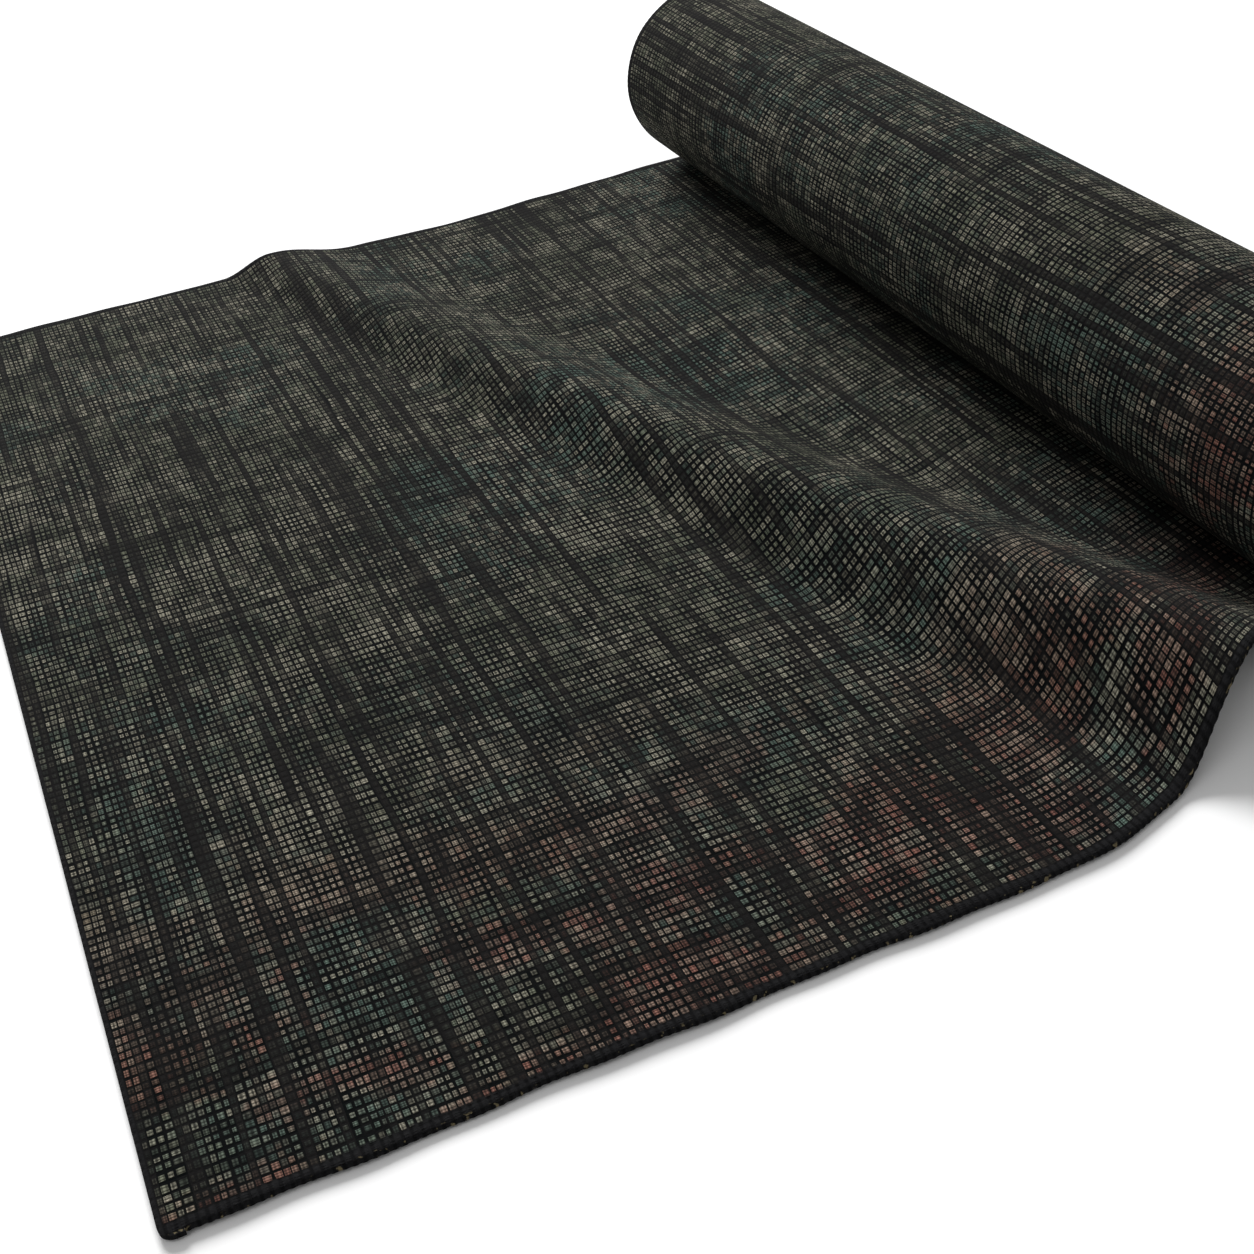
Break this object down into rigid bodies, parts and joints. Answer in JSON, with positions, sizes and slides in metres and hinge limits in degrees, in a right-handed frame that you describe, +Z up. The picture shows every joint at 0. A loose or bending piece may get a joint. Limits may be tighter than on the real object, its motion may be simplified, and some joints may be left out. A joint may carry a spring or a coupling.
{
  "type": "rolled practice mat",
  "caption": "Woven practice mat lying flat with a diagonal ripple, its far end rolled up on top and able to unroll by one turn.",
  "frame": {"origin": "middle of the footprint, on the surface it lies on", "axes": "+X along the mat from its lead end to the roll, +Y across the mat, +Z up"},
  "size_m": [0.4264, 0.51, 0.0828],
  "materials": {
    "woven_cloth": "coarse charcoal weave flecked with grey-green, olive, beige and brick red",
    "woven_edge": "dark ribbed selvedge",
    "end_hem": "dark turned and flattened hem"
  },
  "bodies": {
    "laid_run": {"lead_hem": "end_hem", "laid_weave": "woven_cloth", "laid_near_selvedge": "woven_edge", "laid_far_selvedge": "woven_edge"},
    "turn_01": {"turn_weave_01": "woven_cloth", "turn_near_selvedge_01": "woven_edge", "turn_far_selvedge_01": "woven_edge"},
    "turn_02": {"turn_weave_02": "woven_cloth", "turn_near_selvedge_02": "woven_edge", "turn_far_selvedge_02": "woven_edge"},
    "turn_03": {"turn_weave_03": "woven_cloth", "turn_near_selvedge_03": "woven_edge", "turn_far_selvedge_03": "woven_edge"},
    "turn_04": {"turn_weave_04": "woven_cloth", "turn_near_selvedge_04": "woven_edge", "turn_far_selvedge_04": "woven_edge"},
    "turn_05": {"turn_weave_05": "woven_cloth", "turn_near_selvedge_05": "woven_edge", "turn_far_selvedge_05": "woven_edge"},
    "turn_06": {"turn_weave_06": "woven_cloth", "turn_near_selvedge_06": "woven_edge", "turn_far_selvedge_06": "woven_edge"},
    "turn_07": {"turn_weave_07": "woven_cloth", "turn_near_selvedge_07": "woven_edge", "turn_far_selvedge_07": "woven_edge"},
    "turn_08": {"turn_weave_08": "woven_cloth", "turn_near_selvedge_08": "woven_edge", "turn_far_selvedge_08": "woven_edge"},
    "turn_09": {"turn_weave_09": "woven_cloth", "turn_near_selvedge_09": "woven_edge", "turn_far_selvedge_09": "woven_edge"},
    "turn_10": {"turn_weave_10": "woven_cloth", "turn_near_selvedge_10": "woven_edge", "turn_far_selvedge_10": "woven_edge"},
    "roll_core": {"core_weave": "woven_cloth", "core_near_selvedge": "woven_edge", "core_far_selvedge": "woven_edge", "core_hem": "end_hem"}
  },
  "joints": [
    {"name": "unroll", "type": "hinge", "parent": "laid_run", "child": "turn_01", "pos_m": [0.1718, 0, 0], "axis": [0, 1, 0], "range_deg": [0, 15]},
    {"name": "unroll_02", "type": "hinge", "parent": "turn_01", "child": "turn_02", "pos_m": [0.1927, 0, 0.0058], "axis": [0, 1, 0], "range_deg": [0, 30]},
    {"name": "unroll_03", "type": "hinge", "parent": "turn_02", "child": "turn_03", "pos_m": [0.20783, 0, 0.0212], "axis": [0, 1, 0], "range_deg": [0, 30]},
    {"name": "unroll_04", "type": "hinge", "parent": "turn_03", "child": "turn_04", "pos_m": [0.2132, 0, 0.042], "axis": [0, 1, 0], "range_deg": [0, 30]},
    {"name": "unroll_05", "type": "hinge", "parent": "turn_04", "child": "turn_05", "pos_m": [0.20748, 0, 0.0626], "axis": [0, 1, 0], "range_deg": [0, 30]},
    {"name": "unroll_06", "type": "hinge", "parent": "turn_05", "child": "turn_06", "pos_m": [0.1923, 0, 0.07751], "axis": [0, 1, 0], "range_deg": [0, 30]},
    {"name": "unroll_07", "type": "hinge", "parent": "turn_06", "child": "turn_07", "pos_m": [0.1718, 0, 0.0828], "axis": [0, 1, 0], "range_deg": [0, 30]},
    {"name": "unroll_08", "type": "hinge", "parent": "turn_07", "child": "turn_08", "pos_m": [0.1515, 0, 0.07716], "axis": [0, 1, 0], "range_deg": [0, 30]},
    {"name": "unroll_09", "type": "hinge", "parent": "turn_08", "child": "turn_09", "pos_m": [0.13681, 0, 0.0622], "axis": [0, 1, 0], "range_deg": [0, 30]},
    {"name": "unroll_10", "type": "hinge", "parent": "turn_09", "child": "turn_10", "pos_m": [0.1316, 0, 0.042], "axis": [0, 1, 0], "range_deg": [0, 30]},
    {"name": "unroll_11", "type": "hinge", "parent": "turn_10", "child": "roll_core", "pos_m": [0.13716, 0, 0.022], "axis": [0, 1, 0], "range_deg": [0, 15]}
  ],
  "couplings": [
    {"joint": "unroll_02", "follows": "unroll", "ratio": 2},
    {"joint": "unroll_03", "follows": "unroll", "ratio": 2},
    {"joint": "unroll_04", "follows": "unroll", "ratio": 2},
    {"joint": "unroll_05", "follows": "unroll", "ratio": 2},
    {"joint": "unroll_06", "follows": "unroll", "ratio": 2},
    {"joint": "unroll_07", "follows": "unroll", "ratio": 2},
    {"joint": "unroll_08", "follows": "unroll", "ratio": 2},
    {"joint": "unroll_09", "follows": "unroll", "ratio": 2},
    {"joint": "unroll_10", "follows": "unroll", "ratio": 2},
    {"joint": "unroll_11", "follows": "unroll", "ratio": 1}
  ]
}
